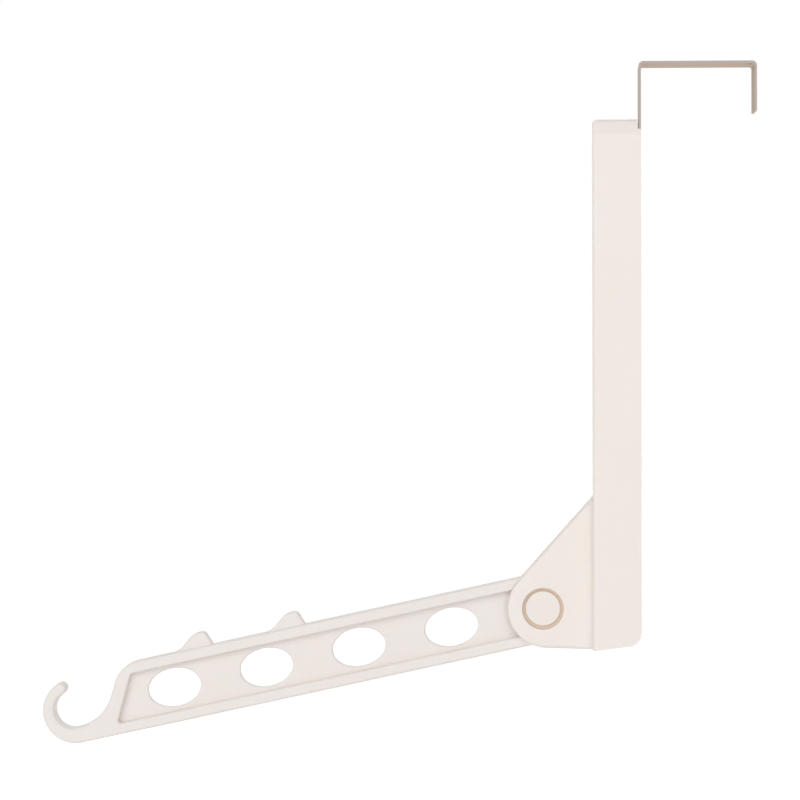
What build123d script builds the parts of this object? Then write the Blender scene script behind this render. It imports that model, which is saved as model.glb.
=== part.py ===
from build123d import *
import os
from math import acos, asin, atan2, cos, degrees, hypot, radians, sin, sqrt, tan

# Folding over-the-door hook: a steel strip hooks over the top of a door and carries a moulded bar.
# A coat-hanger arm is pinned between two cheeks at the foot of the bar. It rests on its heel, drooping
# a little, and folds up flat against the front of the bar.
# Millimetres. Origin: centre of the seat on the door's top edge. +Z up, +X towards the door's far side,
# the arm reaches towards -X, and Y = 0 is the plane of symmetry.

# Door bracket
door_gap = 45.5
strip_width = 25.0
strip_thickness = 1.0
strip_bend = 1.0
rear_leg_depth = 19.0
strip_drop = 22.3
strip_tail = 60.0
strip_play = 0.6
strip_side_play = 0.3

# Screws that hold the strip to the bar
screw_pitch = 30.0
screw_end_distance = 14.0
screw_shank = 3.0
screw_head = 6.4
screw_length = 12.0
screw_point = 2.0
screw_cross = 3.2
screw_cross_width = 0.7
screw_cross_depth = 0.9
boss_diameter = 7.6
seat_gap = 0.02

# Moulded bar
bar_width = 28.0
bar_depth = 19.65
wall = 2.0
bevel_height = 6.2
bevel_width = 3.2
outline_round = 2.4
front_round = 2.0
foot_drop = 0.5
foot_rise = 2.6
foot_round = 5.5
rib_thickness = 1.6
rib_count = 4
rib_setback = 3.0

# Cheeks that hold the pivot
pivot_drop = 197.5
cheek_span = 16.0
ear_radius = 16.0
ear_offset = 1.6
gusset_rise = 45.0
cheek_blend = 3.2
blend_land = 0.4
cheek_edge_round = 1.6

# Pivot pin and its cap
pin_diameter = 8.0
pin_head = 14.2
pin_head_thickness = 1.2
pin_head_setback = 0.9
pin_head_chamfer = 0.35
pin_recess = 16.9
cap_stem = 4.0
cap_stem_length = 6.0
running_gap = 0.05

# Arm
arm_droop = 12.4
arm_reach = 209.4
arm_height = 27.9
arm_width = 8.6
arm_side_gap = 0.2
web = 2.5
flange = 4.45
end_flange = 5.45
rim_round = 1.3
rim_land = 0.15
pocket_rim_chamfer = 0.5
hub_radius = 11.0
hub_shoulder = 4.8
root_gap = 1.15
heel_gap = 0.25
heel_top = 4.5
heel_round = 1.8
heel_blend = 12.0
fold_gap = 0.25

# Hanger holes in the arm's web
hole_count = 4
hole_first = 38.3
hole_pitch = 38.7
hole_length = 21.8
hole_height = 15.5
hole_chamfer = 0.4

# Fins on top of the arm, one between each pair of holes but the first
fin_height = 6.0
fin_length = 14.8
fin_lean = 2.2
fin_crest = 4.8
fin_crest_round = 2.4
fin_back_round = 7.5
fin_foot_round = 9.0
fin_tail = 4.0
fin_sink = 0.05
fin_thickness = 5.0
fin_edge_round = 1.0
fin_root = 2.6

# Hook at the end of the arm
hook_radius = 13.3
slope_angle = 62.5
shoulder_round = 12.5
throat_radius = 7.55
throat_shift = 0.8
throat_rise = 0.75
throat_blend = 19.0
tip_angle = 71.0
pocket_top_round = 2.4
pocket_foot_round = 1.2
pocket_hub_round = 1.0

# Planes and heights that the pieces share
bar_rear = -door_gap / 2
bar_front = bar_rear - bar_depth
bar_top = -strip_drop
half_height = arm_height / 2
pivot_standoff = half_height + fin_height + fold_gap
pivot_x = bar_front - pivot_standoff
pivot_z = bar_top - pivot_drop
ear_x = pivot_x + ear_offset
ear_low = pivot_z - ear_radius
bar_low = ear_low - foot_drop
gusset_top = pivot_z + gusset_rise
slot_width = arm_width + 2 * arm_side_gap
cheek_ledge = (bar_width - cheek_span) / 2 - front_round
cheek_flare = min(cheek_blend, cheek_ledge - blend_land)
recess_depth = pin_head_thickness + pin_head_setback
recess_floor = cheek_span / 2 - recess_depth
strip_low = bar_top - strip_tail
screw_heights = [strip_low + screw_end_distance + i * screw_pitch for i in range(2)]
cone_depth = (screw_head - screw_shank) / 2

droop_cos = cos(radians(arm_droop))
droop_sin = sin(radians(arm_droop))
front_view = Plane(origin=(bar_front, 0, 0), x_dir=(0, 1, 0), z_dir=(1, 0, 0))
pivot_axis = Axis((pivot_x, 0, pivot_z), (0, 1, 0))
pivot_section = Plane(origin=(pivot_x, 0, pivot_z), x_dir=(1, 0, 0), z_dir=(0, 0, 1))
pivot_plane = Plane(origin=(pivot_x, 0, pivot_z), x_dir=(1, 0, 0), z_dir=(0, -1, 0))
arm_plane = Plane(
    origin=(pivot_x, 0, pivot_z),
    x_dir=(-droop_cos, 0, -droop_sin),
    z_dir=(0, 1, 0),
)


def to_arm(x, z):
    """A point given from the pivot along X and Z, in the drooping arm's own axes."""
    return (-x * droop_cos - z * droop_sin, -x * droop_sin + z * droop_cos)


def screw_plane(height):
    """The plane of a screw's seat on the strip, facing the door."""
    return Plane(origin=(bar_rear, 0, height), x_dir=(0, 1, 0), z_dir=(1, 0, 0))


# Clevis: two cheeks with a slanted gusset edge and a round ear, flared where they meet the bar
with BuildPart() as clevis:
    with BuildSketch(Plane.XY.offset(bar_low)) as plan:
        with Locations((bar_front + wall, 0)):
            Rectangle(bar_front + wall - ear_x + ear_radius, cheek_span, align=(Align.MAX, Align.CENTER))
        with Locations((bar_front, 0)):
            Rectangle(wall, bar_width - 2 * front_round, align=(Align.MIN, Align.CENTER))
        inner_corners = plan.vertices().group_by(Axis.X)[1].sort_by(Axis.Y)
        fillet(inner_corners.filter_by_position(Axis.Y, -cheek_span / 2, cheek_span / 2), cheek_flare)
    extrude(amount=gusset_rise + 2 * ear_radius)
    with BuildSketch(Plane.XZ) as side:
        with Locations((ear_x, pivot_z)):
            Circle(ear_radius)
        with Locations((bar_front, gusset_top)):
            Rectangle(wall, gusset_top - bar_low, align=(Align.MIN, Align.MAX))
        make_hull()
    extrude(amount=bar_width, both=True, mode=Mode.INTERSECT)
    cheek_faces = clevis.faces().filter_by(Axis.Y).filter_by(lambda f: f.center().X < bar_front)
    blend_start = bar_front - cheek_flare - cheek_edge_round
    fillet(cheek_faces.edges().filter_by(lambda e: e.center().X < blend_start), cheek_edge_round)
    with BuildSketch(Plane.XY.offset(bar_low)):
        with Locations((bar_front, 0)):
            Rectangle(2 * (pivot_standoff + ear_radius), slot_width, align=(Align.MAX, Align.CENTER))
    extrude(amount=gusset_rise + 2 * ear_radius, mode=Mode.SUBTRACT)

# Housing: a bar with bevelled shoulders, hollow and ribbed at the back, with the clevis at its foot
with BuildPart() as housing:
    with BuildSketch(front_view) as bar_outline:
        with BuildLine():
            Polyline(
                (-bar_width / 2, bar_low),
                (-bar_width / 2, bar_top - bevel_height),
                (-bar_width / 2 + bevel_width, bar_top),
                (bar_width / 2 - bevel_width, bar_top),
                (bar_width / 2, bar_top - bevel_height),
                (bar_width / 2, bar_low),
                close=True,
            )
        make_face()
        fillet(bar_outline.vertices().sort_by(Axis.Y)[2:], outline_round)
    extrude(amount=bar_depth)
    foot_slope = Plane(
        origin=(bar_front, 0, bar_low),
        x_dir=(bar_depth, 0, foot_rise),
        z_dir=(-foot_rise, 0, bar_depth),
    )
    split(bisect_by=foot_slope, keep=Keep.TOP)
    fillet(housing.edges().filter_by(Axis.Y).group_by(Axis.X)[-1].sort_by(Axis.Z)[0], foot_round)
    front_edges = housing.faces().sort_by(Axis.X)[0].edges()
    fillet(front_edges.sort_by(Axis.Z)[1:], front_round)
    # Hollow back
    with BuildSketch(front_view.offset(wall)) as hollow:
        add(bar_outline.sketch_local)
        offset(amount=-wall, mode=Mode.REPLACE)
        with Locations((0, bar_low)):
            Rectangle(bar_width, foot_rise + wall, align=(Align.CENTER, Align.MIN), mode=Mode.SUBTRACT)
    extrude(amount=bar_depth, mode=Mode.SUBTRACT)
    add(clevis.part)
    # Rabbet that takes the strip, open at the top
    with BuildSketch(Plane.XY.offset(strip_low - strip_side_play)):
        with Locations((bar_rear, 0)):
            Rectangle(
                strip_thickness + strip_play,
                strip_width + 2 * strip_side_play,
                align=(Align.MAX, Align.CENTER),
            )
    extrude(amount=strip_tail + 2 * strip_side_play, mode=Mode.SUBTRACT)
    # Ribs across the hollow and behind the cheeks
    with BuildSketch(front_view.offset(wall)):
        rib_step = (strip_low - gusset_top) / (rib_count + 1)
        with Locations(*[(0, strip_low - (i + 1) * rib_step) for i in range(rib_count)]):
            Rectangle(bar_width - wall, rib_thickness)
        with Locations(*[(side * (cheek_span + slot_width) / 4, gusset_top) for side in (-1, 1)]):
            Rectangle(rib_thickness, gusset_top - bar_low - foot_rise, align=(Align.CENTER, Align.MAX))
    extrude(amount=bar_depth - wall - rib_setback)
    # Screw bosses, level with the strip's seat
    with BuildSketch(front_view.offset(wall)):
        with Locations(*[(0, height) for height in screw_heights]):
            Circle(boss_diameter / 2)
    extrude(amount=bar_depth - wall - strip_thickness)
    with Locations(*[screw_plane(height) for height in screw_heights]):
        CounterSinkHole(
            radius=screw_shank / 2 + seat_gap,
            counter_sink_radius=screw_head / 2 + seat_gap,
            depth=screw_length + seat_gap,
            counter_sink_angle=90,
        )
    # Pivot: a recess for each pin head and a bore through both cheeks
    for side in (-1, 1):
        with BuildSketch(pivot_plane.offset(side * recess_floor)):
            Circle(pin_recess / 2)
        extrude(amount=side * recess_depth, mode=Mode.SUBTRACT)
    with BuildSketch(pivot_plane):
        Circle(pin_diameter / 2 + seat_gap)
    extrude(amount=cheek_span, both=True, mode=Mode.SUBTRACT)
housing.part.label = "housing"

# Fin: a shark-fin stop with its steep side towards the pivot, rooted in the arm's top flange
with BuildPart() as fin:
    with BuildSketch(arm_plane) as fin_profile:
        with BuildLine():
            crest = half_height + fin_height
            tail = half_height - fin_sink
            Polyline(
                (0, half_height - fin_root),
                (0, half_height),
                (fin_lean, crest),
                (fin_lean + fin_crest, crest),
                (fin_length, tail),
                (fin_length + fin_tail, tail),
                (fin_length + fin_tail, half_height - fin_root),
                close=True,
            )
        make_face()
        fillet(fin_profile.vertices().sort_by(Axis.X)[2], fin_crest_round)
        fillet(fin_profile.vertices().sort_by(Axis.X)[-4], fin_back_round)
        fillet(fin_profile.vertices().sort_by(Axis.X)[-3], fin_foot_round)
    extrude(amount=fin_thickness / 2, both=True)
    fin_sides = fin.faces().filter_by(Axis.Y)
    fin_base = fin.edges().filter_by(Axis.Y, reverse=True).filter_by(
        lambda e: arm_plane.to_local_coords(e.center()).Y < half_height - fin_root / 4
    )
    fillet(fin_sides.edges() - fin_base, fin_edge_round)

# Arm: an I-section beam with oval hanger holes, two fins, and an upturned hook
hook_u = arm_reach - hook_radius
hook_v = hook_radius - half_height
throat_u = hook_u + throat_shift
throat_v = hook_v + throat_rise
throat_floor = throat_v - throat_radius
throat_offset = hypot(throat_shift, throat_rise)
hook_wall = hook_radius - throat_radius - throat_offset
both_radii = hook_radius + throat_radius
tip_cos = cos(radians(tip_angle))
tip_sin = sin(radians(tip_angle))
tip_reach = both_radii + throat_shift * tip_cos + throat_rise * tip_sin
tip_path = (both_radii**2 - throat_offset**2) / (2 * tip_reach)
tip_outer_angle = degrees(atan2(throat_rise + tip_path * tip_sin, throat_shift + tip_path * tip_cos))
slope = (cos(radians(slope_angle)), -sin(radians(slope_angle)))
blend_length = throat_blend * tan(radians(slope_angle / 2))
throat_corner = throat_u - blend_length
slope_end = (throat_corner - blend_length * slope[0], throat_floor - blend_length * slope[1])
shoulder_u = throat_corner - (half_height - throat_floor) / tan(radians(slope_angle))
root_radius = pivot_standoff - root_gap
heel_x = pivot_standoff - heel_gap
heel_low = to_arm(heel_x, (heel_x * droop_sin - half_height) / droop_cos)
heel_high = to_arm(heel_x, -heel_top)
root_bearing = degrees(atan2(-heel_high[1], -heel_high[0]) - acos(root_radius / hypot(*heel_high)))
root_turn = -degrees(asin(half_height / root_radius)) - root_bearing
pocket_height = half_height - flange
pocket_inset = end_flange / sin(radians(slope_angle))
slope_run = half_height / tan(radians(slope_angle))
pocket_run = pocket_height / tan(radians(slope_angle))

with BuildPart() as arm:
    with BuildSketch(arm_plane) as outline:
        with BuildLine():
            root_top = (-sqrt(root_radius**2 - half_height**2), half_height)
            front = FilletPolyline(root_top, (shoulder_u, half_height), slope_end, radius=shoulder_round)
            blend = TangentArc(slope_end, (throat_u, throat_floor), tangent=slope)
            throat = CenterArc((throat_u, throat_v), throat_radius, -90, 90 + tip_angle)
            hook = CenterArc((hook_u, hook_v), hook_radius, -90, 90 + tip_outer_angle)
            TangentArc(throat @ 1, hook @ 1, tangent=throat % 1)
            root = CenterArc((0, 0), root_radius, 180 + root_bearing, root_turn)
            Polyline(hook @ 0, heel_low, heel_high, root @ 0)
        make_face()
        fillet(outline.vertices().filter_by(lambda v: v.X < -hub_radius).sort_by(Axis.Y)[1], heel_blend)
        root_corners = outline.vertices().filter_by(lambda v: v.X < -hub_radius).sort_by(Axis.Y)
        fillet([root_corners[0], root_corners[-1]], heel_round)
    extrude(amount=arm_width / 2, both=True)
    fillet(arm.faces().filter_by(Axis.Y).edges(), min(rim_round, (hook_wall - rim_land) / 2))
    # Pockets that leave the web
    for side in (-1, 1):
        with BuildSketch(arm_plane.offset(side * web / 2)) as pocket:
            with BuildLine():
                pocket_mid = shoulder_u + slope_run - pocket_inset
                Polyline(
                    (hub_shoulder, pocket_height),
                    (pocket_mid - pocket_run, pocket_height),
                    (pocket_mid + pocket_run, -pocket_height),
                    (hub_shoulder, -pocket_height),
                )
                ThreePointArc((hub_shoulder, -pocket_height), (hub_radius, 0), (hub_shoulder, pocket_height))
            make_face()
            fillet(pocket.vertices().sort_by(Axis.X)[:2], pocket_hub_round)
            fillet(pocket.vertices().sort_by(Axis.X)[-2], pocket_top_round)
            fillet(pocket.vertices().sort_by(Axis.X)[-1], pocket_foot_round)
        extrude(amount=side * (arm_width - web) / 2, mode=Mode.SUBTRACT)
    pocket_rims = arm.faces().filter_by(Axis.Y).filter_by(lambda f: abs(f.center().Y) > web)
    chamfer([edge for rim in pocket_rims for edge in rim.inner_wires()[0].edges()], pocket_rim_chamfer)
    # Hanger holes
    with BuildSketch(arm_plane.offset(-web)):
        with Locations(*[(hole_first + i * hole_pitch, 0) for i in range(hole_count)]):
            Ellipse(hole_length / 2, hole_height / 2)
    extrude(amount=2 * web, mode=Mode.SUBTRACT)
    web_edges = arm.edges().filter_by_position(Axis.Y, -web, web)
    chamfer(web_edges.filter_by(lambda edge: edge.is_closed), hole_chamfer)
    # Fins, each with its steep side midway between two holes
    for i in range(1, hole_count - 1):
        fin_u = hole_first + (i + 0.5) * hole_pitch
        add(fin.part.moved(Location(arm_plane.x_dir * fin_u)))
    with BuildSketch(arm_plane):
        Circle(pin_diameter / 2 + running_gap)
    extrude(amount=arm_width, both=True, mode=Mode.SUBTRACT)
arm.part.label = "arm"

# Pivot pin: a headed pin, bored at its far end for the cap's stem
with BuildPart() as pivot_pin:
    with BuildSketch(pivot_section):
        with BuildLine():
            Polyline(
                (0, -recess_floor - pin_head_thickness),
                (pin_head / 2, -recess_floor - pin_head_thickness),
                (pin_head / 2, -recess_floor),
                (pin_diameter / 2, -recess_floor),
                (pin_diameter / 2, recess_floor),
                (cap_stem / 2 + seat_gap, recess_floor),
                (cap_stem / 2 + seat_gap, recess_floor - cap_stem_length - seat_gap),
                (0, recess_floor - cap_stem_length - seat_gap),
                close=True,
            )
        make_face()
    revolve(axis=pivot_axis)
    chamfer(pivot_pin.edges().sort_by(Axis.Y)[0], pin_head_chamfer)
pivot_pin.part.label = "pivot_pin"

# Pivot cap: the matching head on the far side, with a stem pressed into the pin
with BuildPart() as pivot_cap:
    with BuildSketch(pivot_section):
        with BuildLine():
            Polyline(
                (0, recess_floor + pin_head_thickness),
                (pin_head / 2, recess_floor + pin_head_thickness),
                (pin_head / 2, recess_floor),
                (cap_stem / 2, recess_floor),
                (cap_stem / 2, recess_floor - cap_stem_length),
                (0, recess_floor - cap_stem_length),
                close=True,
            )
        make_face()
    revolve(axis=pivot_axis)
    chamfer(pivot_cap.edges().sort_by(Axis.Y)[-1], pin_head_chamfer)
pivot_cap.part.label = "pivot_cap"

# Door bracket: one strip bent over the door's top edge, its tail screwed to the bar
with BuildPart() as door_bracket:
    with BuildSketch(Plane.XZ):
        with BuildLine():
            FilletPolyline(
                (bar_rear, strip_low),
                (bar_rear, 0),
                (-bar_rear, 0),
                (-bar_rear, -rear_leg_depth),
                radius=strip_bend,
            )
            offset(amount=strip_thickness, side=Side.LEFT)
        make_face()
    extrude(amount=strip_width / 2, both=True)
    with Locations(*[screw_plane(height) for height in screw_heights]):
        CounterSinkHole(
            radius=screw_shank / 2 + seat_gap,
            counter_sink_radius=screw_head / 2 + seat_gap,
            depth=bar_depth,
            counter_sink_angle=90,
        )
door_bracket.part.label = "door_bracket"

# Bracket screws: countersunk, with a cross recess
with BuildPart() as bracket_screws:
    for height in screw_heights:
        screw_axis = Axis((bar_rear, 0, height), (1, 0, 0))
        with BuildSketch(Plane(origin=(bar_rear, 0, height), x_dir=(1, 0, 0), z_dir=(0, -1, 0))):
            with BuildLine():
                Polyline(
                    (0, 0),
                    (0, screw_head / 2),
                    (-cone_depth, screw_shank / 2),
                    (-screw_length + screw_point, screw_shank / 2),
                    (-screw_length, 0),
                    close=True,
                )
            make_face()
        revolve(axis=screw_axis)
        with BuildSketch(screw_plane(height)):
            Rectangle(screw_cross, screw_cross_width)
            Rectangle(screw_cross_width, screw_cross)
        extrude(amount=-screw_cross_depth, mode=Mode.SUBTRACT)
bracket_screws.part.label = "bracket_screws"

os.makedirs("parts", exist_ok=True)
for piece in (housing, arm, pivot_pin, pivot_cap, door_bracket, bracket_screws):
    export_step(piece.part, f"parts/{piece.part.label}.step")
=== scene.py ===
from math import cos, radians, sin

import bmesh
import bpy
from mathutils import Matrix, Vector


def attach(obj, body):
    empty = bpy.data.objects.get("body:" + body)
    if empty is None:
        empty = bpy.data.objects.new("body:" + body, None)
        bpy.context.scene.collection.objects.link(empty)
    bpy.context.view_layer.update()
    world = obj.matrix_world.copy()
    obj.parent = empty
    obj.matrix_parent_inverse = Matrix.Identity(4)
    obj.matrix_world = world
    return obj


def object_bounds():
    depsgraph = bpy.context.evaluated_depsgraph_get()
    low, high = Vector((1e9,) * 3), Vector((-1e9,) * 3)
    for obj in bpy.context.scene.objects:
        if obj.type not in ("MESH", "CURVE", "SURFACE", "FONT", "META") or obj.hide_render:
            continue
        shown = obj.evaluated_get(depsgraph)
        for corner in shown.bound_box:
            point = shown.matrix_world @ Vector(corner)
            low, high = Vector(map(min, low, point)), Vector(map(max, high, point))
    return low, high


# Folding over-the-door hook: cream moulded bar and arm, a brushed steel strip and two zinc screws.
# Metres, in the frame of the solids: +Z up, the arm reaches towards -X, and the camera looks along +Y.

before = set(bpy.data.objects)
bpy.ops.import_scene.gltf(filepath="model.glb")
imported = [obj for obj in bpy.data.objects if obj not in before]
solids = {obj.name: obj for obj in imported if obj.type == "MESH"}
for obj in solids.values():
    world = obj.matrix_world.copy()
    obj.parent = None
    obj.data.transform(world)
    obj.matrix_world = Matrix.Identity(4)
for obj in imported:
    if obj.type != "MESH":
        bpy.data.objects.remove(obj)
cad_low, cad_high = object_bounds()
centre = (cad_low + cad_high) / 2

# Colours, linear
CREAM = (0.888, 0.825, 0.782, 1.0)
CREAM_WARM = (0.884, 0.812, 0.760, 1.0)
CREAM_ARM = (0.856, 0.806, 0.775, 1.0)
CREAM_ARM_WARM = (0.853, 0.794, 0.753, 1.0)
CREAM_PIN = (0.872, 0.818, 0.762, 1.0)
CREAM_PIN_WARM = (0.868, 0.806, 0.742, 1.0)
# Tan of the painted shade laid into crevices
CREVICE_SHADE_TAN = (0.720, 0.500, 0.290, 1.0)
STEEL = (0.535, 0.450, 0.380, 1.0)
STEEL_DARK = (0.430, 0.350, 0.290, 1.0)
STEEL_EDGE = (0.490, 0.418, 0.388, 1.0)
STEEL_GRAZE = (0.680, 0.600, 0.545, 1.0)
ZINC = (0.620, 0.610, 0.580, 1.0)
ZINC_DULL = (0.450, 0.440, 0.420, 1.0)
WHITE = (1.0, 1.0, 1.0, 1.0)

# Noise patterns: octaves, weight of the finer ones, and the values between which most of a pattern lies
NOISE_DETAIL = 2.0
FINE_DETAIL = 3.0
NOISE_WEIGHT = 0.5
STREAK_WEIGHT = 0.6
NOISE_LOW = 0.3
NOISE_HIGH = 0.7

# Sockets of a mix node that carry colours
MIX_FIRST = 6
MIX_SECOND = 7
MIX_RESULT = 2

# Moulded plastic, sizes in metres
MOTTLE_SIZE = 0.030
GRAIN_SIZE = 0.0007
GRAIN_HEIGHT = 0.00002
WAVE_SIZE = 0.018
WAVE_HEIGHT = 0.00006
PLASTIC_ROUGHNESS = (0.36, 0.44)
PLASTIC_IOR = 1.49
SUBSURFACE_SHARE = 0.12
SUBSURFACE_RADIUS = (1.0, 0.7, 0.45)
SUBSURFACE_DEPTH = 0.0012

# Painted shade in crevices, tan: the reach in metres, the openness where it is full and where it ends, and
# its shares
CREVICE_REACH = 0.0022
CREVICE_SAMPLES = 8
CREVICE_DEEP = 0.34
CREVICE_OPEN = 0.60
HOUSING_PAINTED_SHADE = 0.82
ARM_PAINTED_SHADE = 0.25
PIN_PAINTED_SHADE = 0.82

# Steel strip and zinc screws, sizes in metres
BRUSH_PITCH = 0.00022
BRUSH_LENGTH = 0.045
BRUSH_HEIGHT = 0.000012
STEEL_ROUGHNESS = (0.30, 0.46)
CLOUD_SIZE = 0.010
CLOUD_SHARE = 0.35
PATCH_SIZE = 0.0025
PLATING_SIZE = GRAIN_SIZE / 3
ZINC_ROUGHNESS = (0.24, 0.40)

# Concave flares between the two cheeks and the bar, in metres
BAR_FRONT = -0.0424
CHEEK_SIDE = 0.008
FLARE_RADIUS = 0.0032
FLARE_PROUD = 0.00006
FLARE_ROOT = 0.0005
FLARE_TOP = -0.1755
FLARE_FOOT = -0.23465
FLARE_STEPS = 16
GUSSET_SLOPE = 1.693

# Studio, in metres and watts, with the lamps' places measured from the middle of the hook
FLOOR_DROP = 0.30
FLOOR_SIDE = 12.0
FLOOR_GREY = (0.90, 0.90, 0.90, 1.0)
FLOOR_ROUGHNESS = 0.9
FLOOR_GLOW = 0.625
SKY_SEEN = 1.0
SKY_LIGHT = 0.445
LAMP_SIDE = 3.2
KEY_OFFSET = (-0.4, -1.87, 0.40)
KEY_POWER = 38.1
REAR_OFFSET = (0.2, 1.9, 0.25)
REAR_POWER = 26.4

# Camera, found from points of the photo, in metres and degrees
CAMERA_PLACE = (-0.0395, -1.2, -0.0913)
CAMERA_PITCH = -0.56
CAMERA_ROLL = 0.13
CAMERA_YAW = 2.32
CAMERA_SHIFT = (-0.10, -0.10)
CAMERA_CLIP = (0.01, 100.0)
FOCAL_PIXELS = 2950.9
IMAGE_PIXELS = 800
SENSOR_WIDTH = 36.0


class Nodes:
    """The node tree of a material or of the sky, with short helpers that add and join its nodes."""

    def __init__(self, owner):
        owner.use_nodes = True
        self.tree = owner.node_tree

    def add(self, kind, **settings):
        """A new node with those settings."""
        node = self.tree.nodes.new(kind)
        for name, value in settings.items():
            setattr(node, name, value)
        return node

    def join(self, output, target):
        """Link one node's output to another node's input."""
        self.tree.links.new(output, target)

    def noise(self, place, size, detail=NOISE_DETAIL, weight=NOISE_WEIGHT):
        """A noise pattern from 0 to 1, whose features are about that size."""
        node = self.add("ShaderNodeTexNoise")
        node.inputs["Scale"].default_value = 1.0 / size
        node.inputs["Detail"].default_value = detail
        node.inputs["Roughness"].default_value = weight
        self.join(place, node.inputs["Vector"])
        return node.outputs["Fac"]

    def remap(self, value, from_low, from_high, to_low, to_high):
        """A value carried over from one range to another, and held at the range's ends."""
        node = self.add("ShaderNodeMapRange")
        node.inputs["From Min"].default_value = from_low
        node.inputs["From Max"].default_value = from_high
        node.inputs["To Min"].default_value = to_low
        node.inputs["To Max"].default_value = to_high
        self.join(value, node.inputs["Value"])
        return node.outputs["Result"]

    def spread(self, pattern, low=0.0, high=1.0):
        """A noise pattern spread out between two values."""
        return self.remap(pattern, NOISE_LOW, NOISE_HIGH, low, high)

    def mix(self, factor, first, second):
        """A blend of two colours, each a constant or another node's output."""
        node = self.add("ShaderNodeMix", data_type="RGBA")
        self.join(factor, node.inputs["Factor"])
        for colour, socket in ((first, node.inputs[MIX_FIRST]), (second, node.inputs[MIX_SECOND])):
            if isinstance(colour, tuple):
                socket.default_value = colour
            else:
                self.join(colour, socket)
        return node.outputs[MIX_RESULT]

    def bump(self, height, distance, below=None):
        """The normal of a bump of that height in metres, laid over another bump's normal."""
        node = self.add("ShaderNodeBump")
        node.inputs["Distance"].default_value = distance
        self.join(height, node.inputs["Height"])
        if below is not None:
            self.join(below, node.inputs["Normal"])
        return node.outputs["Normal"]

    def background_rays(self):
        """1 for the rays that show the background: from the camera, off a gloss or through glass."""
        path = self.add("ShaderNodeLightPath")
        seen = path.outputs["Is Camera Ray"]
        for kind in ("Is Glossy Ray", "Is Transmission Ray"):
            either = self.add("ShaderNodeMath", operation="MAXIMUM")
            self.join(seen, either.inputs[0])
            self.join(path.outputs[kind], either.inputs[1])
            seen = either.outputs["Value"]
        return seen


def new_material(name):
    """A material, its bare shader and its nodes."""
    material = bpy.data.materials.new(name)
    nodes = Nodes(material)
    return material, nodes.tree.nodes["Principled BSDF"], nodes


def moulded_plastic(name, colour, warm_colour, crevice_shade):
    """Satin moulded plastic: a faint mottle, a fine die grain, soft sink waves and painted tan shade in
    the crevices.
    """
    material, shader, nodes = new_material(name)
    place = nodes.add("ShaderNodeTexCoord").outputs["Object"]
    mottle = nodes.noise(place, MOTTLE_SIZE, FINE_DETAIL)
    grain = nodes.noise(place, GRAIN_SIZE)
    wave = nodes.noise(place, WAVE_SIZE)
    body = nodes.mix(nodes.spread(mottle), colour, warm_colour)
    openness = nodes.add("ShaderNodeAmbientOcclusion", samples=CREVICE_SAMPLES)
    openness.inputs["Distance"].default_value = CREVICE_REACH
    # Painted shade: the colour is pulled towards tan where ambient occlusion finds a crevice
    painted_shade = nodes.remap(openness.outputs["AO"], CREVICE_DEEP, CREVICE_OPEN, crevice_shade, 0.0)
    nodes.join(nodes.mix(painted_shade, body, CREVICE_SHADE_TAN), shader.inputs["Base Color"])
    nodes.join(nodes.spread(grain, *PLASTIC_ROUGHNESS), shader.inputs["Roughness"])
    waves = nodes.bump(wave, WAVE_HEIGHT)
    nodes.join(nodes.bump(grain, GRAIN_HEIGHT, waves), shader.inputs["Normal"])
    shader.inputs["IOR"].default_value = PLASTIC_IOR
    shader.inputs["Subsurface Weight"].default_value = SUBSURFACE_SHARE
    shader.inputs["Subsurface Radius"].default_value = SUBSURFACE_RADIUS
    shader.inputs["Subsurface Scale"].default_value = SUBSURFACE_DEPTH
    return material


def brushed_steel(name):
    """Rolled steel strip, brushed along its length, with plainer sheared edges at its two sides."""
    material, shader, nodes = new_material(name)
    place = nodes.add("ShaderNodeTexCoord").outputs["Object"]
    stretch = nodes.add("ShaderNodeMapping")
    stretch.inputs["Scale"].default_value = (1 / BRUSH_LENGTH, 1 / BRUSH_PITCH, 1 / BRUSH_LENGTH)
    nodes.join(place, stretch.inputs["Vector"])
    streak = nodes.noise(stretch.outputs["Vector"], size=1.0, detail=FINE_DETAIL, weight=STREAK_WEIGHT)
    cloud = nodes.noise(place, CLOUD_SIZE)
    lines = nodes.mix(nodes.spread(streak), STEEL, STEEL_DARK)
    faces = nodes.mix(nodes.spread(cloud, high=CLOUD_SHARE), lines, STEEL_DARK)
    facing = nodes.add("ShaderNodeSeparateXYZ")
    nodes.join(nodes.add("ShaderNodeTexCoord").outputs["Normal"], facing.inputs["Vector"])
    sheared = nodes.add("ShaderNodeMath", operation="ABSOLUTE")
    nodes.join(facing.outputs["Y"], sheared.inputs[0])
    body = nodes.mix(sheared.outputs["Value"], faces, STEEL_EDGE)
    nodes.join(body, shader.inputs["Base Color"])
    nodes.join(nodes.spread(streak, *STEEL_ROUGHNESS), shader.inputs["Roughness"])
    nodes.join(nodes.bump(streak, BRUSH_HEIGHT), shader.inputs["Normal"])
    shader.inputs["Metallic"].default_value = 1.0
    shader.inputs["Specular Tint"].default_value = STEEL_GRAZE
    return material


def bright_zinc(name):
    """Zinc-plated screws, a little dulled in patches."""
    material, shader, nodes = new_material(name)
    place = nodes.add("ShaderNodeTexCoord").outputs["Object"]
    patch = nodes.noise(place, PATCH_SIZE, FINE_DETAIL)
    plating = nodes.noise(place, PLATING_SIZE)
    body = nodes.mix(nodes.spread(patch), ZINC, ZINC_DULL)
    nodes.join(body, shader.inputs["Base Color"])
    nodes.join(nodes.spread(patch, *ZINC_ROUGHNESS), shader.inputs["Roughness"])
    nodes.join(nodes.bump(plating, BRUSH_HEIGHT), shader.inputs["Normal"])
    shader.inputs["Metallic"].default_value = 1.0
    return material


def finish_node(name, material):
    """Give a solid its finish."""
    slots = solids[name].data.materials
    slots.clear()
    slots.append(material)


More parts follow.
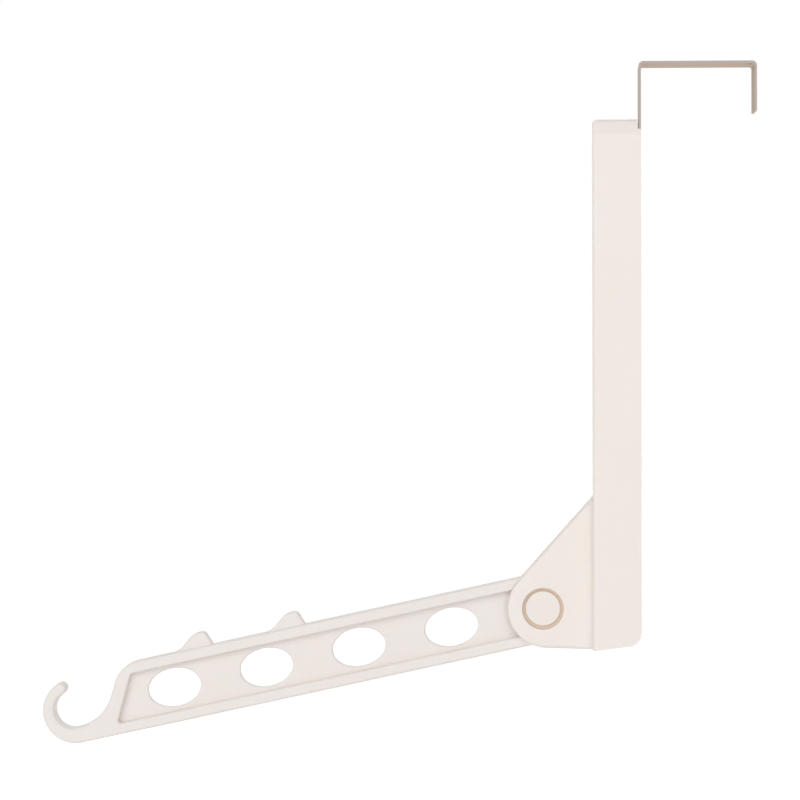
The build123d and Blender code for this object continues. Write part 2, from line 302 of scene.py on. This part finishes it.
def flare_outline(side):
    """Section of one flare: a hollow quarter round, flush at both ends, and a root sunk into the walls."""
    centre_x = BAR_FRONT - FLARE_RADIUS
    centre_y = CHEEK_SIDE + FLARE_RADIUS
    outline = []
    for step in range(FLARE_STEPS + 1):
        turn = radians(90 * step / FLARE_STEPS)
        radius = FLARE_RADIUS - FLARE_PROUD * sin(2 * turn)
        outline.append((centre_x + radius * sin(turn), centre_y - radius * cos(turn)))
    outline.append((BAR_FRONT + FLARE_ROOT, centre_y))
    outline.append((BAR_FRONT + FLARE_ROOT, CHEEK_SIDE - FLARE_ROOT))
    outline.append((centre_x, CHEEK_SIDE - FLARE_ROOT))
    return [(x, side * y) for x, y in outline]


def cheek_flares(material):
    """The smooth flares where the cheeks run into the bar, cut off at the top by the gusset's slope."""
    form = bmesh.new()
    for side in (-1, 1):
        outline = flare_outline(side)
        foot = [form.verts.new((x, y, FLARE_FOOT)) for x, y in outline]
        top = [form.verts.new((x, y, FLARE_TOP + GUSSET_SLOPE * (x - BAR_FRONT))) for x, y in outline]
        form.faces.new(foot)
        form.faces.new(top)
        for i in range(len(outline)):
            after = (i + 1) % len(outline)
            wall = form.faces.new((foot[i], foot[after], top[after], top[i]))
            wall.smooth = i < FLARE_STEPS
    for edge in form.edges:
        edge.smooth = all(face.smooth for face in edge.link_faces)
    bmesh.ops.recalc_face_normals(form, faces=form.faces)
    mesh = bpy.data.meshes.new("cheek_flares")
    form.to_mesh(mesh)
    form.free()
    mesh.materials.append(material)
    flares = bpy.data.objects.new("cheek_flares", mesh)
    bpy.context.scene.collection.objects.link(flares)
    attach(flares, "bar")


def pale_floor():
    """A wide white floor below the hanging hook, which glows where it is seen and keeps the shadow."""
    bpy.ops.mesh.primitive_plane_add(size=FLOOR_SIDE, location=(0, 0, cad_low.z - FLOOR_DROP))
    floor = bpy.context.object
    floor.name = "floor"
    material, shader, nodes = new_material("floor_white")
    shader.inputs["Base Color"].default_value = FLOOR_GREY
    shader.inputs["Roughness"].default_value = FLOOR_ROUGHNESS
    glow = nodes.add("ShaderNodeMath", operation="MULTIPLY")
    glow.inputs[1].default_value = FLOOR_GLOW
    nodes.join(nodes.background_rays(), glow.inputs[0])
    shader.inputs["Emission Color"].default_value = WHITE
    nodes.join(glow.outputs["Value"], shader.inputs["Emission Strength"])
    floor.data.materials.append(material)


def white_sky():
    """An even studio sky: white where it is seen, dimmer as a light."""
    world = bpy.data.worlds.new("studio")
    bpy.context.scene.world = world
    nodes = Nodes(world)
    background = nodes.tree.nodes["Background"]
    background.inputs["Color"].default_value = WHITE
    strength = nodes.remap(nodes.background_rays(), 0.0, 1.0, SKY_LIGHT, SKY_SEEN)
    nodes.join(strength, background.inputs["Strength"])


def soft_lamp(name, offset, power):
    """A square soft box that looks at the hook, and that a gloss doesn't mirror over the white sky."""
    data = bpy.data.lights.new(name, "AREA")
    data.shape = "SQUARE"
    data.size = LAMP_SIDE
    data.energy = power
    lamp = bpy.data.objects.new(name, data)
    place = centre + Vector(offset)
    lamp.location = place
    lamp.rotation_euler = (centre - place).to_track_quat("-Z", "Y").to_euler()
    lamp.visible_glossy = False
    bpy.context.scene.collection.objects.link(lamp)


def photo_camera():
    """The photo's view: level with the bar, nearly square to its side, with a long lens."""
    data = bpy.data.cameras.new("photo_camera")
    data.sensor_width = SENSOR_WIDTH
    data.lens = SENSOR_WIDTH * FOCAL_PIXELS / IMAGE_PIXELS
    data.shift_x, data.shift_y = CAMERA_SHIFT
    data.clip_start, data.clip_end = CAMERA_CLIP
    camera = bpy.data.objects.new("photo_camera", data)
    camera.location = CAMERA_PLACE
    camera.rotation_euler = (radians(90 + CAMERA_PITCH), radians(CAMERA_ROLL), radians(CAMERA_YAW))
    bpy.context.scene.collection.objects.link(camera)
    bpy.context.scene.camera = camera


housing_cream = moulded_plastic("housing_cream", CREAM, CREAM_WARM, HOUSING_PAINTED_SHADE)
finish_node("housing", housing_cream)
cheek_flares(housing_cream)
finish_node("arm", moulded_plastic("arm_cream", CREAM_ARM, CREAM_ARM_WARM, ARM_PAINTED_SHADE))
pin_cream = moulded_plastic("pin_cream", CREAM_PIN, CREAM_PIN_WARM, PIN_PAINTED_SHADE)
finish_node("pivot_pin", pin_cream)
finish_node("pivot_cap", pin_cream)
finish_node("door_bracket", brushed_steel("strip_steel"))
finish_node("bracket_screws", bright_zinc("screw_zinc"))

pale_floor()
white_sky()
soft_lamp("key", KEY_OFFSET, KEY_POWER)
soft_lamp("rear", REAR_OFFSET, REAR_POWER)
photo_camera()
bpy.context.scene.view_settings.view_transform = "Standard"
